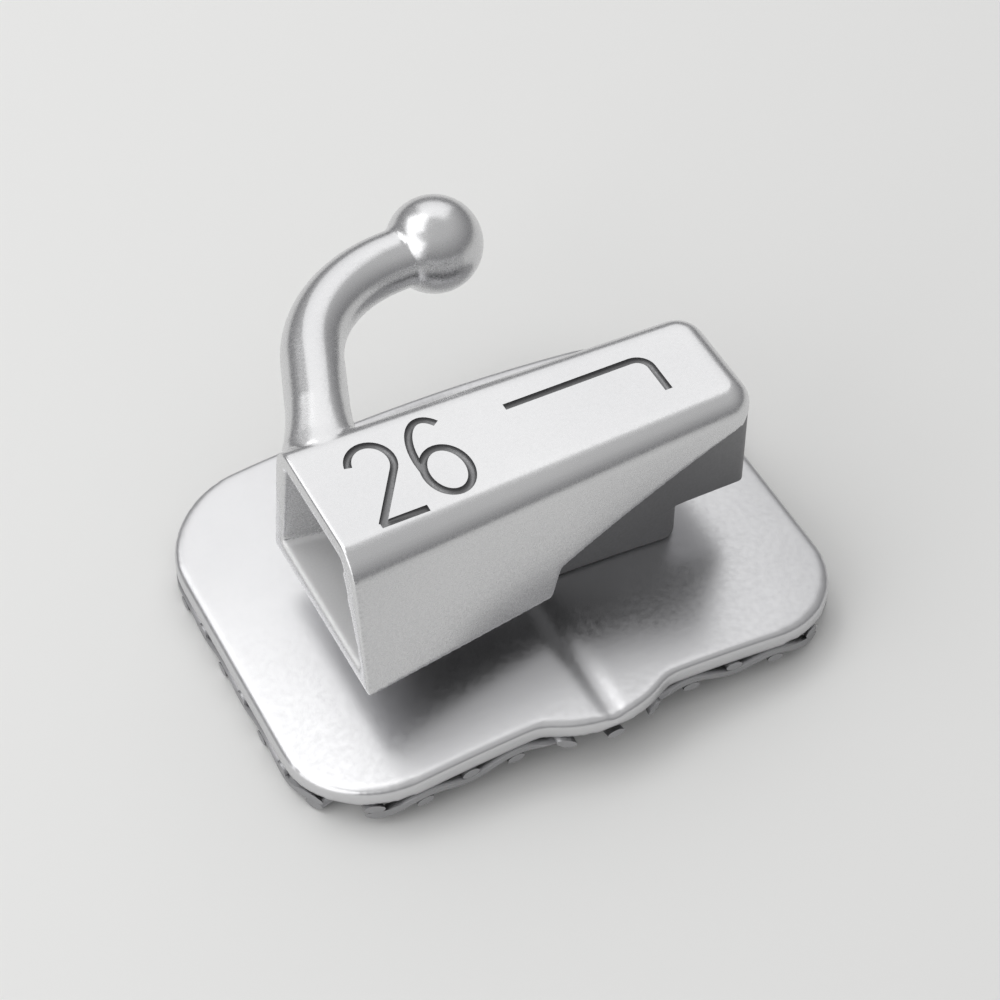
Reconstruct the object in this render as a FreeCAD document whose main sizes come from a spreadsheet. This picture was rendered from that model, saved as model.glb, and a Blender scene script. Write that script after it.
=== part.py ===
"""Bondable single buccal tube for an upper left first molar, in millimetres.

The tube stands on the rim of its curved bonding base. X runs from the mesial mouth to the distal end, Y from the
occlusal edge of the base to the gingival hook, and Z away from the tooth. The origin is the middle of the base, on
the plane of its rim.
"""

import FreeCAD, Part
import math
import os

import Sketcher

Vector = FreeCAD.Vector

# Every driving size: alias, value in millimetres or degrees, and what it is.
SIZES = (
    ("pad_length", 5.2, "base from mesial to distal edge"),
    ("pad_width", 4.1, "base from the tip of its occlusal lobe to its gingival edge"),
    ("pad_corner", 0.9, "corner radius of the base's outline"),
    ("pad_thickness", 0.18, "stamped plate"),
    ("pad_contour", 14.0, "radius of the tooth side of the base, about a line along Y"),
    ("lobe_depth", 0.2, "how far the lobe stands out from the occlusal edge"),
    ("lobe_span", 1.2, "width of the lobe at the edge"),
    ("lobe_blend", 0.4, "radius where the lobe meets the edge"),
    ("groove_width", 0.3, "contour groove along the middle of the plate"),
    ("groove_depth", 0.04, "contour groove"),
    ("pad_edge_round", 0.06, "rounding of the plate's upper edge"),
    ("mesh_thickness", 0.17, "wire cloth, both layers of wire"),
    ("mesh_pitch", 0.42, "spacing of the wires"),
    ("mesh_wire", 0.16, "width of a wire"),
    ("mesh_layer", 0.115, "depth of one layer of wires"),
    ("slot_height", 0.56, "passage across Y, for a 0.022 inch archwire"),
    ("slot_depth", 0.71, "passage across Z, for 0.028 inch of depth"),
    ("slot_rise", 1.46, "middle of the passage above the rim plane"),
    ("roof_wall", 0.32, "metal over the passage"),
    ("floor_wall", 0.18, "metal under the passage"),
    ("side_wall", 0.34, "metal beside the passage at the distal end"),
    ("mesial_reach", 1.87, "lower lip of the mouth from the middle of the base"),
    ("distal_reach", 2.12, "distal end from the middle of the base"),
    ("mouth_gingival", 0.72, "outside of the mouth, gingival side, from the passage's middle"),
    ("mouth_occlusal", 0.78, "outside of the mouth, occlusal side, at the roof"),
    ("mouth_flare", 0.5, "how much further the occlusal wall reaches at the floor"),
    ("mouth_lip", 0.13, "wall at the mouth"),
    ("mouth_setback", 0.07, "how far the roof stands back from the lower lip"),
    ("funnel_length", 1.15, "from the lower lip to the parallel passage"),
    ("funnel_drop", 0.03, "mouth's floor below the passage's floor"),
    ("relief_start", 0.1, "mesial end of the relief under the occlusal wall, from the base's middle"),
    ("relief_lean", 0.2, "how much further mesial that end is at its foot"),
    ("relief_low", -0.28, "relief's top edge at its mesial end, from the passage's middle"),
    ("relief_high", 0.52, "relief's top edge past the distal end, from the passage's middle"),
    ("stem_mesial", 1.4, "stem's mesial end from the middle of the base"),
    ("stem_distal", 1.5, "stem's distal end from the middle of the base"),
    ("stem_width", 0.98, "stem across Y"),
    ("stem_corner", 0.2, "stem's corner radius"),
    ("roof_round", 0.22, "rounding along the roof's long edges"),
    ("end_round", 0.26, "rounding of the distal end's upright corners"),
    ("hook_root", 1.37, "where the hook leaves the gingival wall, mesial of the base's middle"),
    ("hook_over", 0.43, "middle of the hook's wire above the middle of the passage"),
    ("hook_wire", 0.56, "hook's wire"),
    ("hook_lean", 70.0, "first run of the hook from the X axis, in degrees"),
    ("hook_run", 1.0, "first run of the hook outside the wall"),
    ("hook_sunk", 0.16, "first run of the hook inside the wall"),
    ("hook_bend", 1.3, "bend radius"),
    ("hook_tail_angle", 5.0, "last run of the hook from the X axis, in degrees"),
    ("hook_tail", 0.5, "last run of the hook, to the middle of the ball"),
    ("ball_diameter", 0.9, "ball at the hook's end"),
    ("line_width", 0.07, "engraved axis line"),
    ("line_depth", 0.05, "engraved axis line"),
    ("line_start", 0.08, "mesial end of the axis line, from the base's middle"),
    ("line_length", 1.38, "long stroke of the axis line"),
    ("line_turn", 0.45, "short stroke of the axis line, towards the occlusal edge"),
    ("line_shift", 0.25, "axis line from the passage's middle, towards the gingival edge"),
)

# Depth of a cut that only has to pass right through the piece, how closely places are compared, and how much
# longer than the base a wire is before it is trimmed.
THROUGH = 20.0
FINE = 0.01
SPARE = 1.2

doc = FreeCAD.newDocument("buccal_tube")


def make_sheet():
    """Write every driving size into the spreadsheet, with its alias and its meaning."""
    sheet = doc.addObject("Spreadsheet::Sheet", "sizes")
    for row, (alias, value, meaning) in enumerate(SIZES, start=1):
        sheet.set(f"A{row}", alias)
        sheet.set(f"B{row}", str(value))
        sheet.setAlias(f"B{row}", alias)
        sheet.set(f"C{row}", meaning)
    doc.recompute()
    return sheet


sizes = make_sheet()


def size(alias):
    """One driving size, as the sheet holds it."""
    return float(sizes.get(alias))


# The contour axis lies below the tooth, along Y, so that the rim of the wire cloth is at Z = 0.
AXIS_DEPTH = "sqrt(sizes.pad_contour ^ 2 - (sizes.pad_length / 2) ^ 2)"
PAD_UNDER = "sizes.pad_contour + sizes.mesh_thickness"
PAD_TOP = "sizes.pad_contour + sizes.mesh_thickness + sizes.pad_thickness"

# Edges of the tube's section, from the middle of the passage.
ROOF = "sizes.slot_depth / 2 + sizes.roof_wall"
FLOOR = "-sizes.slot_depth / 2 - sizes.floor_wall"
SIDE = "sizes.slot_height / 2 + sizes.side_wall"
MOUTH_STATION = "-sizes.mesial_reach - sizes.mouth_setback"


def new_body(label):
    """An empty body whose label names the piece."""
    body = doc.addObject("PartDesign::Body", label)
    body.Label = label
    return body


def plane_of(body, role):
    """One of the body's own origin planes."""
    return next(item for item in body.Origin.OriginFeatures if item.Role == role)


def attach(item, body, role, turn=None, **offsets):
    """Fix an item to one of its body's planes, moved by expressions and turned about its upright axis."""
    item.AttachmentSupport = [(plane_of(body, role), "")]
    item.MapMode = "FlatFace"
    if turn:
        item.AttachmentOffset = FreeCAD.Placement(Vector(), FreeCAD.Rotation(Vector(0, 1, 0), 1.0))
        item.setExpression("AttachmentOffset.Rotation.Angle", turn)
    for direction, expression in offsets.items():
        item.setExpression(f"AttachmentOffset.Base.{direction}", expression)
    return item


def sketch_on(body, name, role, **where):
    """A sketch on one of the body's planes."""
    return attach(body.newObject("Sketcher::SketchObject", name), body, role, **where)


def section_at(body, name, station):
    """A sketch across the tube at a station along X, about the middle of the passage."""
    return sketch_on(body, name, "YZ_Plane", y="sizes.slot_rise", z=station)


def value_of(expression):
    """What an expression on the sheet comes to: a length, or an angle in degrees."""
    value = sizes.evalExpression(expression)
    return float(getattr(value, "Value", value))


def bind(sketch, kind, where, expression):
    """One dimension of a sketch, bound to an expression."""
    start = value_of(expression)
    if kind == "Angle":
        start = math.radians(start)
    index = sketch.addConstraint(Sketcher.Constraint(kind, *where, start))
    sketch.setExpression(f"Constraints[{index}]", expression)


def pin_point(sketch, curve, end, across, up):
    """Hold one end of a curve at a place given by two expressions."""
    bind(sketch, "DistanceX", (-1, 1, curve, end), across)
    bind(sketch, "DistanceY", (-1, 1, curve, end), up)


def polygon(sketch, corners):
    """A closed outline of straight lines through corners given by pairs of expressions."""
    count = len(corners)
    ring = [Vector(value_of(across), value_of(up), 0) for across, up in corners]
    for index in range(count):
        sketch.addGeometry(Part.LineSegment(ring[index], ring[(index + 1) % count]))
    for index in range(count):
        sketch.addConstraint(Sketcher.Constraint("Coincident", index, 2, (index + 1) % count, 1))
    for index, (across, up) in enumerate(corners):
        pin_point(sketch, index, 1, across, up)
    return sketch


def rounded_rectangle(sketch, low, high, corner):
    """An outline between two corners given by pairs of expressions, with rounded corners."""
    (left, bottom), (right, top) = low, high
    middles = (
        (f"{right} - {corner}", f"{bottom} + {corner}", -90),
        (f"{right} - {corner}", f"{top} - {corner}", 0),
        (f"{left} + {corner}", f"{top} - {corner}", 90),
        (f"{left} + {corner}", f"{bottom} + {corner}", 180),
    )
    arcs = []
    for across, up, start in middles:
        circle = Part.Circle(Vector(value_of(across), value_of(up), 0), Vector(0, 0, 1), value_of(corner))
        arcs.append(sketch.addGeometry(
            Part.ArcOfCircle(circle, math.radians(start), math.radians(start + 90))))
    lines = []
    for index in range(4):
        ends = [sketch.getPoint(arcs[index], 2), sketch.getPoint(arcs[(index + 1) % 4], 1)]
        lines.append(sketch.addGeometry(Part.LineSegment(*ends)))
    for index in range(4):
        sketch.addConstraint(Sketcher.Constraint("Tangent", arcs[index], 2, lines[index], 1))
        sketch.addConstraint(Sketcher.Constraint("Tangent", lines[index], 2, arcs[(index + 1) % 4], 1))
    for arc in arcs[1:]:
        sketch.addConstraint(Sketcher.Constraint("Equal", arcs[0], arc))
    bind(sketch, "Radius", (arcs[0],), corner)
    for line, kind in zip(lines, ("Vertical", "Horizontal", "Vertical", "Horizontal")):
        sketch.addConstraint(Sketcher.Constraint(kind, line))
    pin_point(sketch, arcs[0], 3, *middles[0][:2])
    pin_point(sketch, arcs[2], 3, *middles[2][:2])
    return sketch


def contour_region(sketch, radius, far_side):
    """The region on one side of a layer's curve, seen along Y: below it for -1, above it for 1."""
    reach = size("pad_length")
    start = math.asin(reach / value_of(radius))
    circle = Part.Circle(Vector(0, -value_of(AXIS_DEPTH), 0), Vector(0, 0, 1), value_of(radius))
    arc = sketch.addGeometry(Part.ArcOfCircle(circle, math.pi / 2 - start, math.pi / 2 + start))
    right, left = sketch.getPoint(arc, 1), sketch.getPoint(arc, 2)
    far = far_side * reach
    corners = (left, Vector(-reach, far, 0), Vector(reach, far, 0), right)
    lines = [sketch.addGeometry(Part.LineSegment(*pair)) for pair in zip(corners, corners[1:])]
    sketch.addConstraint(Sketcher.Constraint("Coincident", arc, 2, lines[0], 1))
    sketch.addConstraint(Sketcher.Constraint("Coincident", lines[0], 2, lines[1], 1))
    sketch.addConstraint(Sketcher.Constraint("Coincident", lines[1], 2, lines[2], 1))
    sketch.addConstraint(Sketcher.Constraint("Coincident", lines[2], 2, arc, 1))
    sketch.addConstraint(Sketcher.Constraint("Vertical", lines[0]))
    sketch.addConstraint(Sketcher.Constraint("Vertical", lines[2]))
    bind(sketch, "Radius", (arc,), radius)
    pin_point(sketch, arc, 3, "0", f"-({AXIS_DEPTH})")
    pin_point(sketch, lines[1], 1, "-sizes.pad_length", f"{far_side} * sizes.pad_length")
    pin_point(sketch, lines[1], 2, "sizes.pad_length", f"{far_side} * sizes.pad_length")
    return sketch


def pad(body, name, sketch, length):
    """Material from a sketch, out to a length."""
    feature = body.newObject("PartDesign::Pad", name)
    feature.Profile = sketch
    feature.setExpression("Length", length)
    return feature


def cut_through(body, name, sketch):
    """A cut right through the piece, both ways from the sketch."""
    feature = body.newObject("PartDesign::Pocket", name)
    feature.Profile = sketch
    feature.SideType = "Symmetric"
    feature.Length = THROUGH
    return feature


def loft(body, kind, name, first, last):
    """A straight loft between two sections, which adds or cuts."""
    feature = body.newObject(f"PartDesign::{kind}Loft", name)
    feature.Profile = first
    feature.Sections = [last]
    feature.Ruled = True
    return feature


def edges_where(shape, test):
    """Names of the edges that a test picks."""
    return [f"Edge{index}" for index, edge in enumerate(shape.Edges, start=1) if test(edge)]


def round_edges(body, name, base, test, radius):
    """Round the edges of a feature that a test picks."""
    doc.recompute()
    feature = body.newObject("PartDesign::Fillet", name)
    feature.Base = (base, edges_where(base.Shape, test))
    feature.setExpression("Radius", radius)
    return feature


def make_base_pad():
    """The stamped plate: outline, lobe in the occlusal edge, tooth contour and middle groove."""
    body = new_body("base_pad")
    half_length, half_width = "sizes.pad_length / 2", "sizes.pad_width / 2"
    outline = rounded_rectangle(sketch_on(body, "PadOutline", "XY_Plane"),
                                (f"-{half_length}", f"-{half_width} + sizes.lobe_depth"),
                                (half_length, half_width), "sizes.pad_corner")
    pad(body, "PadBlank", outline, "sizes.pad_length")

    lobe = sketch_on(body, "LobeCircle", "XY_Plane")
    radius = "(sizes.lobe_span ^ 2 / 4 + sizes.lobe_depth ^ 2) / (2 * sizes.lobe_depth)"
    circle = lobe.addGeometry(Part.Circle(Vector(0, -size("lobe_depth"), 0), Vector(0, 0, 1), value_of(radius)))
    bind(lobe, "Radius", (circle,), radius)
    pin_point(lobe, circle, 3, "0", f"-{half_width} + {radius}")
    lobed = pad(body, "OcclusalLobe", lobe, "sizes.pad_length")

    def lobe_corner(edge):
        """An upright edge where the lobe leaves the occlusal edge."""
        inset = size("lobe_depth") - size("pad_width") / 2
        return (edge.BoundBox.ZLength > size("pad_width") and abs(edge.CenterOfMass.y - inset) < FINE
                and abs(edge.CenterOfMass.x) < size("lobe_span") / 2 + FINE)

    blank = round_edges(body, "LobeBlend", lobed, lobe_corner, "sizes.lobe_blend")

    under = contour_region(sketch_on(body, "ToothCurve", "XZ_Plane"), PAD_UNDER, -1)
    cut_through(body, "ToothSide", under)
    over = contour_region(sketch_on(body, "BuccalCurve", "XZ_Plane"), PAD_TOP, 1)
    buccal = cut_through(body, "BuccalSide", over)

    doc.recompute()
    top_radius, depth = value_of(PAD_TOP), value_of(AXIS_DEPTH)

    def upper_rim(edge):
        """An edge of the plate's buccal face."""
        return min(math.hypot(point.x, point.z + depth) for point in edge.discretize(5)) > top_radius - FINE

    rim = round_edges(body, "RimRounding", buccal, upper_rim, "sizes.pad_edge_round")
    groove = sketch_on(body, "GrooveSection", "XZ_Plane")
    top = f"{PAD_TOP} - {AXIS_DEPTH}"
    polygon(groove, (
        ("sizes.groove_width / 2", top),
        ("sizes.groove_width / 2", f"{top} + sizes.groove_depth"),
        ("-sizes.groove_width / 2", f"{top} + sizes.groove_depth"),
        ("-sizes.groove_width / 2", top),
        ("0", f"{top} - sizes.groove_depth"),
    ))
    cut = body.newObject("PartDesign::Pocket", "ContourGroove")
    cut.Profile = groove
    cut.setExpression("Length", "sizes.pad_width")
    cut.Reversed = True
    return body, blank


def make_hull(body):
    """The outside of the tube: a straight loft from the flared mouth to the distal end, with a flat floor."""
    below = f"{FLOOR} - sizes.floor_wall"
    mouth = polygon(section_at(body, "MouthOutside", MOUTH_STATION), (
        ("sizes.mouth_gingival", ROOF),
        ("-sizes.mouth_occlusal", ROOF),
        ("-sizes.mouth_occlusal - sizes.mouth_flare", below),
        ("sizes.mouth_gingival", below),
    ))
    end = polygon(section_at(body, "EndOutside", "sizes.distal_reach"), (
        (SIDE, ROOF),
        (f"-({SIDE})", ROOF),
        (f"-({SIDE})", below),
        (SIDE, below),
    ))
    loft(body, "Additive", "Hull", mouth, end)
    wide = "sizes.pad_width"
    floor = polygon(section_at(body, "FloorLevel", "0"), (
        (wide, FLOOR), (f"-({wide})", FLOOR), (f"-({wide})", f"{below} - sizes.floor_wall"),
        (wide, f"{below} - sizes.floor_wall"),
    ))
    return cut_through(body, "Floor", floor)


def cut_relief(body):
    """The relief that undercuts the occlusal wall back to the stem, under an edge that rises towards distal."""
    below = f"sizes.slot_rise + {FLOOR} - sizes.floor_wall"
    profile = polygon(
        sketch_on(body, "ReliefProfile", "XZ_Plane", z="sizes.stem_width / 2"),
        (("sizes.relief_start", "sizes.slot_rise + sizes.relief_low"),
         ("sizes.relief_start - sizes.relief_lean", below),
         ("sizes.distal_reach + sizes.side_wall", below),
         ("sizes.distal_reach + sizes.side_wall", "sizes.slot_rise + sizes.relief_high")))
    cut = body.newObject("PartDesign::Pocket", "OcclusalRelief")
    cut.Profile = profile
    cut.Reversed = True
    cut.setExpression("Length", "sizes.pad_width")
    return cut


def make_stem(body):
    """The stem under the tube, with its foot on the plate's curve."""
    outline = rounded_rectangle(
        sketch_on(body, "StemOutline", "XY_Plane"),
        ("-sizes.stem_mesial", "-sizes.stem_width / 2"),
        ("sizes.stem_distal", "sizes.stem_width / 2"), "sizes.stem_corner")
    pad(body, "Stem", outline, "sizes.slot_rise - sizes.slot_depth / 4")
    cut_through(body, "Foot", contour_region(sketch_on(body, "FootCurve", "XZ_Plane"), PAD_TOP, -1))


def bevel_mouth(body):
    """Cut the mesial end off on a slope, so that the roof stands back from the lower lip."""
    tall = f"({ROOF} - ({FLOOR}))"
    over, under = f"sizes.slot_rise + {ROOF} + {tall}", f"sizes.slot_rise + {FLOOR} - {tall}"
    away = "-sizes.mesial_reach - sizes.pad_width"
    slope = polygon(sketch_on(body, "MouthSlope", "XZ_Plane"), (
        ("-sizes.mesial_reach + 2 * sizes.mouth_setback", over),
        (away, over),
        (away, under),
        ("-sizes.mesial_reach - sizes.mouth_setback", under),
    ))
    return cut_through(body, "MouthFace", slope)


def open_passage(body):
    """The funnel behind the mouth, and the square-cornered passage right through."""
    lip_roof, corner_lip = f"{ROOF} - sizes.mouth_lip", "sizes.mouth_lip * sqrt(2)"
    lip_floor = "-sizes.slot_depth / 2 - sizes.funnel_drop"
    inside = polygon(section_at(body, "MouthInside", MOUTH_STATION), (
        ("sizes.mouth_gingival - sizes.mouth_lip", lip_roof),
        ("-sizes.mouth_occlusal + sizes.mouth_lip", lip_roof),
        (f"-sizes.mouth_occlusal - sizes.mouth_flare + {corner_lip}", lip_floor),
        ("sizes.mouth_gingival - sizes.mouth_lip", lip_floor),
    ))
    half_height, half_depth = "sizes.slot_height / 2", "sizes.slot_depth / 2"
    passage = ((half_height, half_depth), (f"-{half_height}", half_depth),
               (f"-{half_height}", f"-{half_depth}"), (half_height, f"-{half_depth}"))
    throat = polygon(section_at(body, "Throat", "-sizes.mesial_reach + sizes.funnel_length"), passage)
    loft(body, "Subtractive", "Funnel", inside, throat)
    cut_through(body, "Passage", polygon(section_at(body, "PassageSection", "0"), passage))


def make_tube_body():
    """The casting: flared tube, relief, stem, hook, passage and axis line."""
    body = new_body("tube_body")
    round_roof(body, make_hull(body))
    cut_relief(body)
    make_stem(body)
    open_passage(body)
    bevel_mouth(body)
    engrave_line(body)
    make_hook(body)
    return body


def round_roof(body, base):
    """Round the upright edges of the distal end, then the roof's whole edge except at the mouth."""
    roof = size("slot_rise") + value_of(ROOF)

    def upright_edge(edge):
        """An upright edge of the distal end."""
        return edge.BoundBox.XMin > size("distal_reach") - FINE and edge.BoundBox.ZLength > size("slot_depth")

    def roof_edge(edge):
        """An edge of the roof, away from the mouth."""
        return edge.BoundBox.ZMin > roof - FINE and edge.BoundBox.XMax > 0

    corners = round_edges(body, "EndCorners", base, upright_edge, "sizes.end_round")
    return round_edges(body, "RoofRounding", corners, roof_edge, "sizes.roof_round")


def engrave_line(body):
    """The axis line on the roof: a long stroke with a short turn towards the occlusal edge."""
    line = sketch_on(body, "AxisLineOutline", "XY_Plane", z=f"sizes.slot_rise + {ROOF}")
    inner = "sizes.line_shift - sizes.line_width"
    end = "sizes.line_start + sizes.line_length"
    polygon(line, (
        ("sizes.line_start", "sizes.line_shift"),
        ("sizes.line_start", inner),
        (f"{end} - sizes.line_width", inner),
        (f"{end} - sizes.line_width", "sizes.line_shift - sizes.line_turn"),
        (end, "sizes.line_shift - sizes.line_turn"),
        (end, "sizes.line_shift"),
    ))
    cut = body.newObject("PartDesign::Pocket", "AxisLine")
    cut.Profile = line
    cut.setExpression("Length", "sizes.line_depth")
    return cut


def make_hook(body):
    """The hook: a round wire out of the gingival wall, bent towards distal, with a ball at its end."""
    lean, tail_angle = "(sizes.hook_lean * 1 deg)", "(sizes.hook_tail_angle * 1 deg)"
    start_x = f"-sizes.hook_root - sizes.hook_sunk * cos({lean})"
    start_y = f"sizes.mouth_gingival - sizes.hook_sunk * sin({lean})"
    run = "(sizes.hook_sunk + sizes.hook_run)"
    height = "sizes.slot_rise + sizes.hook_over"

    path = sketch_on(body, "HookPath", "XY_Plane", z=height)
    angle, tail = math.radians(size("hook_lean")), math.radians(size("hook_tail_angle"))
    bend = size("hook_bend")
    first = Vector(-size("hook_root"), size("mouth_gingival"), 0)
    knee = first + Vector(math.cos(angle), math.sin(angle), 0) * size("hook_run")
    middle = knee + Vector(math.sin(angle), -math.cos(angle), 0) * bend
    out = middle + Vector(-math.sin(tail), math.cos(tail), 0) * bend
    end = out + Vector(math.cos(tail), math.sin(tail), 0) * size("hook_tail")
    straight = path.addGeometry(Part.LineSegment(first, knee))
    arc = path.addGeometry(Part.ArcOfCircle(Part.Circle(middle, Vector(0, 0, 1), bend),
                                            math.pi / 2 + tail, math.pi / 2 + angle))
    last = path.addGeometry(Part.LineSegment(out, end))
    path.addConstraint(Sketcher.Constraint("Tangent", straight, 2, arc, 2))
    path.addConstraint(Sketcher.Constraint("Tangent", arc, 1, last, 1))
    bind(path, "Angle", (-1, 1, straight, 1), lean)
    bind(path, "Angle", (-1, 1, last, 1), tail_angle)
    bind(path, "Distance", (straight,), run)
    bind(path, "Distance", (last,), "sizes.hook_tail")
    bind(path, "Radius", (arc,), "sizes.hook_bend")
    pin_point(path, straight, 1, start_x, start_y)

    section = sketch_on(body, "HookSection", "XZ_Plane", turn="sizes.hook_lean - 90",
                        x=start_x, y=height, z=f"-({start_y})")
    ring = section.addGeometry(Part.Circle(Vector(), Vector(0, 0, 1), size("hook_wire") / 2))
    section.addConstraint(Sketcher.Constraint("Coincident", ring, 3, -1, 1))
    bind(section, "Diameter", (ring,), "sizes.hook_wire")
    wire = body.newObject("PartDesign::AdditivePipe", "HookWire")
    wire.Profile = section
    wire.Spine = (path, ["Edge1", "Edge2", "Edge3"])

    ball = body.newObject("PartDesign::AdditiveSphere", "HookBall")
    end_x = (f"{start_x} + {run} * cos({lean}) + sizes.hook_bend * (sin({lean}) - sin({tail_angle}))"
             f" + sizes.hook_tail * cos({tail_angle})")
    end_y = (f"{start_y} + {run} * sin({lean}) + sizes.hook_bend * (cos({tail_angle}) - cos({lean}))"
             f" + sizes.hook_tail * sin({tail_angle})")
    attach(ball, body, "XY_Plane", x=end_x, y=end_y, z=height)
    ball.setExpression("Radius", "sizes.ball_diameter / 2")
    return ball


def make_bonding_mesh(blank):
    """The wire cloth under the plate: wires along the base over straight wires across it."""
    pitch, wire, layer = size("mesh_pitch"), size("mesh_wire"), size("mesh_layer")
    under, width = size("pad_contour"), size("pad_width") - size("lobe_depth")
    axis = Vector(0, 0, -value_of(AXIS_DEPTH))
    upper = under + size("mesh_thickness") - layer
    wires = [curved_wire(axis, upper, layer, size("lobe_depth") / 2 + place, wire)
             for place in centred(math.ceil(width / pitch), pitch)]
    for turn in centred(math.ceil(size("pad_length") / pitch), math.degrees(pitch / under)):
        bar = Part.makeBox(wire, size("pad_width") * SPARE, layer,
                           Vector(-wire / 2, -size("pad_width") * SPARE / 2, under + axis.z))
        bar.rotate(axis, Vector(0, 1, 0), turn)
        wires.append(bar)
    cloth = wires[0].multiFuse(wires[1:]).common(blank.Shape.fuse(mirrored_down(blank.Shape)))
    feature = doc.addObject("Part::Feature", "bonding_mesh")
    feature.Label = "bonding_mesh"
    feature.Shape = cloth.removeSplitter()
    return feature


def centred(count, step):
    """Evenly spaced places about zero."""
    return [(index - (count - 1) / 2) * step for index in range(count)]


def curved_wire(axis, radius, depth, place, width):
    """A flat wire that follows the tooth contour at one place along Y."""
    def point(distance, angle):
        """A point of the wire's near face, by its distance and angle about the contour axis."""
        return axis + Vector(distance * math.sin(angle), place - width / 2, distance * math.cos(angle))

    outer, half = radius + depth, size("pad_length") / radius * SPARE / 2
    edges = [
        Part.Arc(point(radius, -half), point(radius, 0), point(radius, half)).toShape(),
        Part.LineSegment(point(radius, half), point(outer, half)).toShape(),
        Part.Arc(point(outer, half), point(outer, 0), point(outer, -half)).toShape(),
        Part.LineSegment(point(outer, -half), point(radius, -half)).toShape(),
    ]
    return Part.Face(Part.Wire(edges)).extrude(Vector(0, width, 0))


def mirrored_down(shape):
    """The blank continued below the rim plane, so that it takes in the whole cloth."""
    return shape.mirror(Vector(), Vector(0, 0, 1))


def check_and_write(pieces):
    """Stop if anything failed, and otherwise write one STEP file for each piece."""
    doc.recompute()
    failed = [item.Name for item in doc.Objects if {"Invalid", "Error"} & set(item.State)]
    failed += [piece.Label for piece in pieces if piece.Shape.isNull() or not piece.Shape.isValid()]
    if failed:
        raise RuntimeError("failed: " + ", ".join(failed))
    os.makedirs("parts", exist_ok=True)
    for piece in pieces:
        shape = piece.Shape
        shape.exportStep(f"parts/{piece.Label}.step")
        print(piece.Label, len(shape.Solids), "solids", round(shape.Volume, 4), "mm3", shape.BoundBox)


base_pad, pad_blank = make_base_pad()
doc.recompute()
tube_body = make_tube_body()
doc.recompute()
bonding_mesh = make_bonding_mesh(pad_blank)
check_and_write([tube_body, base_pad, bonding_mesh])
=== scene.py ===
"""Looks of a bondable single buccal tube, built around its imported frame.

Every piece is modelled at one unit to the millimetre, because a passage half a millimetre wide is too fine
for remeshing in metres, and is brought to metres once it is finished. X runs from the mesial mouth to the
distal end, Y from the occlusal edge of the base to the gingival hook, and Z away from the tooth.
"""

import logging
import math
from dataclasses import dataclass, field
from enum import Enum
from typing import Callable, Iterable, Sequence

import bmesh
import bpy
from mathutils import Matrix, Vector

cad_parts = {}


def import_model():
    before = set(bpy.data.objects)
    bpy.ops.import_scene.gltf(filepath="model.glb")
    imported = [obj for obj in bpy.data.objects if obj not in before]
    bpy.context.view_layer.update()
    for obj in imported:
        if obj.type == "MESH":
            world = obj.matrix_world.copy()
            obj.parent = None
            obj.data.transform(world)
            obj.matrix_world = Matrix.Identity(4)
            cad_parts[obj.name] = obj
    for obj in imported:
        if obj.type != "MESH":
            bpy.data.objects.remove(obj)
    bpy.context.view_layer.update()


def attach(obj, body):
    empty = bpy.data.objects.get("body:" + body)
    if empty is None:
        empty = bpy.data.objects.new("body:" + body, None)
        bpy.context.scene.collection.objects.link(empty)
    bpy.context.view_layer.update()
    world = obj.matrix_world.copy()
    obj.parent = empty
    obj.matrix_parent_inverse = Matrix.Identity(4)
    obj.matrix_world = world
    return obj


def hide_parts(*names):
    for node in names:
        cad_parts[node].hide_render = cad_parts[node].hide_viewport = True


LOG = logging.getLogger("buccal_tube")

# Metres in a millimetre, then in millimetres: a margin for telling places apart, and the roof above the rim.
MILLIMETRE = 0.001
HAIR = 0.01
ROOF_HEIGHT = 2.135
# Facets over a rounded edge.
ROUND_STEPS = 8
Point = tuple[float, float, float]
Flat = tuple[float, float]


class Slot(Enum):
    """The record's material slots."""

    CASTING = "cast_steel"
    PLATE = "plate_steel"
    CLOTH = "wire_cloth"


class Join(Enum):
    """How one shape is worked into another."""

    CUT = "DIFFERENCE"
    WELD = "UNION"


class Skin(Enum):
    """The casting's finishes, by the number of their material: tumbled steel, a dark painted shade, and painted
    light on the funnel floor.
    """

    TUMBLED = 0
    # Dark colour painted in as shade, on a dull surface.
    RECESS = 1
    # Lighter colour painted in as light on the funnel floor, on a matt surface.
    FUNNEL = 2


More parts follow.
